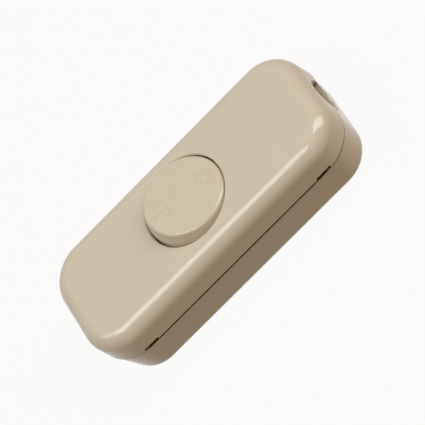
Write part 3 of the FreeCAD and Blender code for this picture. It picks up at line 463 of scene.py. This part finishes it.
def cap_profile(share):
    """Radius and height on the cap's outline, from the foot of its wall (0) to its flat top (1)."""
    turn = edge_turn * min(1.0, 2 * (1 - share))
    radius = CAP_FLAT + CAP_EDGE * math.sin(turn)
    height = CAP_TOP - CAP_EDGE + CAP_EDGE * math.cos(turn)
    down = max(0.0, 1 - 2 * share)
    return radius + (CAP_FOOT - radius) * down, height + (CAP_FOOT_HEIGHT - height) * down


for share in (0.0, 0.5, 1.0):
    print("outline at", share, "in mm:", [round(value / MM, 2) for value in cap_profile(share)])

# %% [markdown]
# The solid's rings of corners are the raw material: each ring of its large radius slides along to
# its own spot on the finer outline, and everything inside the cap stays put. In the model the
# button lies tilted from level by half of its whole travel, so the work is done in its own frame,
# with the pivot as its zero, and the result is turned back.

# %% Recut the cap
ROUND_RADIUS = 11.4 * MM
ROUND_TOP = 4.1 * MM
ROUND_EDGE = 2.3 * MM
NEAR = 0.03 * MM
wall_foot = ROUND_TOP - ROUND_EDGE
flat_limit = ROUND_RADIUS - ROUND_EDGE
joints = {row["name"]: row for row in frame["record"]["behaviour"]["joints"]}
pivot = Vector(joints["rocker_tilt"]["pos_m"])
tilt_at_rest = math.radians(sum(joints["rocker_tilt"]["range_deg"]) / 2)
tilted = Matrix.Translation(pivot) @ Matrix.Rotation(tilt_at_rest, 4, "Y")


def recut(point):
    """Moves a corner of the rounded solid, in the button's own frame, to its place on the cap."""
    radius = math.hypot(point.x, point.y)
    if point.z > ROUND_TOP - NEAR and radius < flat_limit - NEAR:
        point.z += CAP_TOP - ROUND_TOP
    elif point.z > wall_foot - NEAR and radius > flat_limit - NEAR:
        share = math.atan2(point.z - wall_foot, radius - flat_limit) / math.radians(90)
        wanted, point.z = cap_profile(share)
        point.xy *= wanted / radius
    elif abs(radius - ROUND_RADIUS) < NEAR:
        point.xy *= CAP_FOOT / radius


cap = merged_copy("rocker_button")
cap.transform(tilted.inverted())
for corner in cap.verts:
    recut(corner.co)
cap.transform(tilted)
stand_for("rocker_button", "button_moulding", cap)

# %% [markdown]
# Inside the button two plungers press on the contact levers, each pushed by a coil spring. The
# spring's upper end stands on the button and its lower end on the plunger, so when the plunger
# slides in, the coils close up. Each coil gets a finished copy here, with its place baked into its
# mesh.

# %% The springs of the plungers
def share_spring(pole):
    """A finished copy of a plunger's spring, with its place baked into its mesh."""
    spring = f"plunger_spring_{pole}"
    coil = finished_piece(spring, f"spring_coil_{pole}", merged_copy(spring))
    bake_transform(coil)


share_spring("line")
share_spring("neutral")

# %% [markdown]
# The button carries the usual two marks, a line for on and a ring for off, each in a thin square
# frame. They are raised lines, about as high as a hair is thick, left by cuts in the tool. Each is a
# stroke that follows a path, so Geometry Nodes sweep one low round profile along all of them, and
# the sizes of the stroke are inputs of the tree.

# %% A tree for raised strokes
def build_stroke_tree():
    """A node tree that turns paths into low round strokes. Its inputs are width, height and material."""
    tree = bpy.data.node_groups.new("raised_strokes", "GeometryNodeTree")
    sockets = tree.interface
    sockets.new_socket("Geometry", in_out="INPUT", socket_type="NodeSocketGeometry")
    sockets.new_socket("Geometry", in_out="OUTPUT", socket_type="NodeSocketGeometry")
    for name in ("Stroke Width", "Stroke Height"):
        sockets.new_socket(name, in_out="INPUT", socket_type="NodeSocketFloat")
    sockets.new_socket("Material", in_out="INPUT", socket_type="NodeSocketMaterial")
    source = add_node(tree, "NodeGroupInput")
    flat = add_node(tree, "ShaderNodeCombineXYZ", {
        "X": source.outputs["Stroke Width"], "Y": source.outputs["Stroke Height"], "Z": 1.0})
    profile = add_node(tree, "GeometryNodeCurvePrimitiveCircle", {"Resolution": 12, "Radius": 0.5})
    shaped = add_node(tree, "GeometryNodeTransform", {
        "Geometry": profile.outputs["Curve"], "Scale": flat.outputs["Vector"]})
    level = add_node(tree, "GeometryNodeSetCurveNormal", {"Curve": source.outputs["Geometry"]}, mode="Z_UP")
    swept = add_node(tree, "GeometryNodeCurveToMesh", {
        "Curve": level.outputs["Curve"], "Profile Curve": shaped.outputs["Geometry"], "Fill Caps": True})
    smooth = add_node(tree, "GeometryNodeSetShadeSmooth", {"Geometry": swept.outputs["Mesh"]})
    real = add_node(tree, "GeometryNodeRealizeInstances", {"Geometry": smooth.outputs["Geometry"]})
    painted = add_node(tree, "GeometryNodeSetMaterial", {
        "Geometry": real.outputs["Geometry"], "Material": source.outputs["Material"]})
    add_node(tree, "NodeGroupOutput", {"Geometry": painted.outputs["Geometry"]})
    return tree


stroke_tree = build_stroke_tree()
print("stroke tree:", len(stroke_tree.nodes), "nodes")

# %% [markdown]
# The paths are laid out flat, with the middle of the button as their zero: the ring and its frame
# on the side that is pressed for off, the line and its frame on the other side. The line points
# along the switch.

# %% The paths of the marks
FRAME_SIDE = 4.3 * MM
FRAME_ROUNDING = 0.35 * MM
RING_RADIUS = 1.35 * MM
LINE_LENGTH = 3.0 * MM
MARK_OFF = Vector((6.6, 0, 0)) * MM
MARK_ON = Vector((-6.6, 0, 0)) * MM


def add_path(curve, points, closed):
    """Adds a run of straight lines to a curve."""
    spline = curve.splines.new("POLY")
    spline.points.add(len(points) - 1)
    for knot, point in zip(spline.points, points):
        knot.co = (*point, 1.0)
    spline.use_cyclic_u = closed


def square_path(middle, side, rounding, steps=4):
    """The corners of a square, each rounded by a few points."""
    points = []
    inner = side / 2 - rounding
    for quarter, (sx, sy) in enumerate(((1, 1), (-1, 1), (-1, -1), (1, -1))):
        for step in range(steps + 1):
            angle = math.radians(90 * (quarter + step / steps))
            points.append(middle + Vector((sx * inner + rounding * math.cos(angle),
                                           sy * inner + rounding * math.sin(angle), 0)))
    return points


def ring_path(middle, radius, steps=40):
    """Points round a circle."""
    turns = [2 * math.pi * step / steps for step in range(steps)]
    return [middle + Vector((radius * math.cos(turn), radius * math.sin(turn), 0)) for turn in turns]


paths = bpy.data.curves.new("mark_paths", "CURVE")
paths.dimensions = "3D"
add_path(paths, square_path(MARK_OFF, FRAME_SIDE, FRAME_ROUNDING), closed=True)
add_path(paths, ring_path(MARK_OFF, RING_RADIUS), closed=True)
add_path(paths, square_path(MARK_ON, FRAME_SIDE, FRAME_ROUNDING), closed=True)
half_line = Vector((LINE_LENGTH / 2, 0, 0))
add_path(paths, [MARK_ON - half_line, MARK_ON + half_line], closed=False)
print("paths:", len(paths.splines))

# %% [markdown]
# The tree runs on a helper object, its result becomes a plain mesh, and the helper goes. The mesh
# is then lifted to the button's top and turned with the button, as its cap was. Half of each
# stroke's round profile is sunk in the cap, so the profile is twice as high as the stroke.

# %% Sweep the strokes
STROKE_WIDTH = 0.40 * MM
STROKE_HEIGHT = 0.09 * MM
guide = bpy.data.objects.new("mark_guide", paths)
bpy.context.scene.collection.objects.link(guide)
strokes = guide.modifiers.new("strokes", "NODES")
strokes.node_group = stroke_tree
socket_of = {}
for item in stroke_tree.interface.items_tree:
    if item.in_out == "INPUT":
        socket_of[item.name] = item.identifier
strokes[socket_of["Stroke Width"]] = STROKE_WIDTH
strokes[socket_of["Stroke Height"]] = 2 * STROKE_HEIGHT
strokes[socket_of["Material"]] = button_abs
bpy.context.view_layer.update()
ready = guide.evaluated_get(bpy.context.evaluated_depsgraph_get())
mark_mesh = bpy.data.meshes.new_from_object(ready)
guide.modifiers.remove(strokes)
bpy.data.objects.remove(guide)
mark_mesh.transform(tilted @ Matrix.Translation(Vector((0, 0, CAP_TOP))))
marks = bpy.data.objects.new("button_marks", mark_mesh)
bpy.context.scene.collection.objects.link(marks)
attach(marks, "rocker")
print("marks:", len(mark_mesh.polygons), "faces")

# %% [markdown]
# The photograph has a plain white ground, and yet the light that comes up from it on to the sides
# is warm. So the ground has to be two things at once: white to the camera and to mirrors, and
# something warmer and darker to the light that spreads. A ray knows what it is, and the Light Path
# node tells, so one small function serves the floor and the studio around it.

# %% Which rays see white
def seen_directly(tree):
    """One for rays from the camera, a mirror or glass, and nought for the light that spreads."""
    rays = add_node(tree, "ShaderNodeLightPath")
    first = add_node(tree, "ShaderNodeMath", {
        0: rays.outputs["Is Camera Ray"], 1: rays.outputs["Is Glossy Ray"]}, operation="MAXIMUM")
    both = add_node(tree, "ShaderNodeMath", {
        0: first.outputs[0], 1: rays.outputs["Is Transmission Ray"]}, operation="MAXIMUM")
    return both.outputs[0]


# %% [markdown]
# The floor is a flat square of ochre paper, which gives the near side its warm half shade. To the
# camera and to mirrors it glows white, as a lit sweep of paper does. A small share of the paper
# stays in the mix, so that the shadow of the switch still shows.

# %% The floor
FLOOR_HALF = 3.0
WHITE_SHARE = 0.95
floor_mesh = bpy.data.meshes.new("floor")
floor_corners = [(x * FLOOR_HALF, y * FLOOR_HALF, 0) for x, y in ((-1, -1), (1, -1), (1, 1), (-1, 1))]
floor_mesh.from_pydata(floor_corners, [], [(0, 1, 2, 3)])
floor = bpy.data.objects.new("floor", floor_mesh)
bpy.context.scene.collection.objects.link(floor)

floor_paper = bpy.data.materials.new("ochre_paper")
floor_paper.use_nodes = True
floor_tree = floor_paper.node_tree
floor_tree.nodes.clear()
paper = add_node(floor_tree, "ShaderNodeBsdfDiffuse", {"Color": linear("#9c7a2a")})
glow = add_node(floor_tree, "ShaderNodeEmission", {"Color": (1, 1, 1, 1), "Strength": 1.0})
white_share = add_node(floor_tree, "ShaderNodeMath", {
    0: seen_directly(floor_tree), 1: WHITE_SHARE}, operation="MULTIPLY")
floor_mix = add_node(floor_tree, "ShaderNodeMixShader", {
    0: white_share.outputs[0], 1: paper.outputs[0], 2: glow.outputs[0]})
add_node(floor_tree, "ShaderNodeOutputMaterial", {"Surface": floor_mix.outputs[0]})
floor_mesh.materials.append(floor_paper)
print("floor of", 2 * FLOOR_HALF, "m")

# %% [markdown]
# A glossy moulding is drawn by what it reflects, so the lamps are placed from the reflections. The
# long thin highlight on the near edge is a softbox almost overhead. The short one on the far
# corner is a tall softbox past the end of the switch. A third, small and weaker, stands to the
# left and draws the bright arc along the button's edge, and a large dim one fills from behind.
# Together they give an even, soft top light, and the near side stays darker, lit mostly by the
# floor. Each softbox is set by its brightness as a surface, so changing its size doesn't change
# how bright its reflection is.

# %% The lamps
def softbox(name, direction, distance, width, height, brightness):
    """A rectangular white lamp of a given size and brightness that faces the switch from a direction."""
    lamp = bpy.data.lights.new(name, "AREA")
    lamp.shape = "RECTANGLE"
    lamp.size = width
    lamp.size_y = height
    lamp.energy = brightness * math.pi * width * height
    stand = bpy.data.objects.new(name, lamp)
    away = Vector(direction).normalized()
    stand.location = away * distance
    stand.rotation_euler = away.to_track_quat("Z", "Y").to_euler()
    bpy.context.scene.collection.objects.link(stand)
    print(name, "power in watts:", round(lamp.energy, 2))


softbox("key_softbox", (-0.25, -0.30, 0.92), 0.9, 0.66, 0.32, 6.2)
softbox("end_softbox", (0.77, -0.05, 0.63), 0.9, 0.35, 0.92, 5.7)
softbox("side_softbox", (-0.60, 0.08, 0.80), 0.9, 0.24, 0.36, 3.6)
softbox("back_softbox", (-0.40, 0.50, 0.77), 1.1, 1.5, 1.5, 0.16)

# %% [markdown]
# Past the floor's edge lies the studio. It does what the floor does: to the camera and to mirrors it
# is white, and as a light it is only a faint warm glow, so that the lamps do the work.

# %% The studio around
GLOW_STRENGTH = 0.05
world = bpy.data.worlds.new("studio")
bpy.context.scene.world = world
world.use_nodes = True
world_tree = world.node_tree
world_tree.nodes.clear()
dim = add_node(world_tree, "ShaderNodeBackground", {"Color": linear("#fff2e0"), "Strength": GLOW_STRENGTH})
white = add_node(world_tree, "ShaderNodeBackground", {"Color": (1, 1, 1, 1), "Strength": 1.0})
world_mix = add_node(world_tree, "ShaderNodeMixShader", {
    0: seen_directly(world_tree), 1: dim.outputs[0], 2: white.outputs[0]})
add_node(world_tree, "ShaderNodeOutputWorld", {"Surface": world_mix.outputs[0]})
print("world:", world.name)

# %% [markdown]
# The camera stands where the photograph was taken from. Its direction, distance and focal length
# were fitted to the outline of the casing, and the roll puts the switch on the slant that it has in
# the picture. The optical centre lies a little off the middle, and the lens shift takes care of that.

# %% The camera
PHOTO_SIZE = 425
FOCAL_PIXELS = 4081.5
OPTICAL_CENTRE = (207.7, 213.7)
AZIMUTH = math.radians(20.40)
ELEVATION = math.radians(47.52)
ROLL = math.radians(-60.375)
CAMERA_DISTANCE = 0.9789
SENSOR_MM = 36.0

back = Vector((
    math.sin(AZIMUTH) * math.cos(ELEVATION), -math.cos(AZIMUTH) * math.cos(ELEVATION), math.sin(ELEVATION)))
level = Vector((0, 0, 1)).cross(back).normalized()
upright = back.cross(level)
right = level * math.cos(ROLL) + upright * math.sin(ROLL)
up = upright * math.cos(ROLL) - level * math.sin(ROLL)
camera_data = bpy.data.cameras.new("camera")
camera = bpy.data.objects.new("camera", camera_data)
camera_data.sensor_width = SENSOR_MM
camera_data.lens = SENSOR_MM * FOCAL_PIXELS / PHOTO_SIZE
camera_data.shift_x = 0.5 - OPTICAL_CENTRE[0] / PHOTO_SIZE
camera_data.shift_y = OPTICAL_CENTRE[1] / PHOTO_SIZE - 0.5
camera_data.clip_start = 0.05
camera_data.clip_end = 20
camera.matrix_world = Matrix.Translation(Vector((0, 0, SEAM)) + back * CAMERA_DISTANCE) @ Matrix(
    (right, up, back)).transposed().to_4x4()
bpy.context.scene.collection.objects.link(camera)
bpy.context.scene.camera = camera
bpy.context.scene.view_settings.view_transform = "Standard"
print("camera at", [round(value, 3) for value in camera.matrix_world.translation], "m")
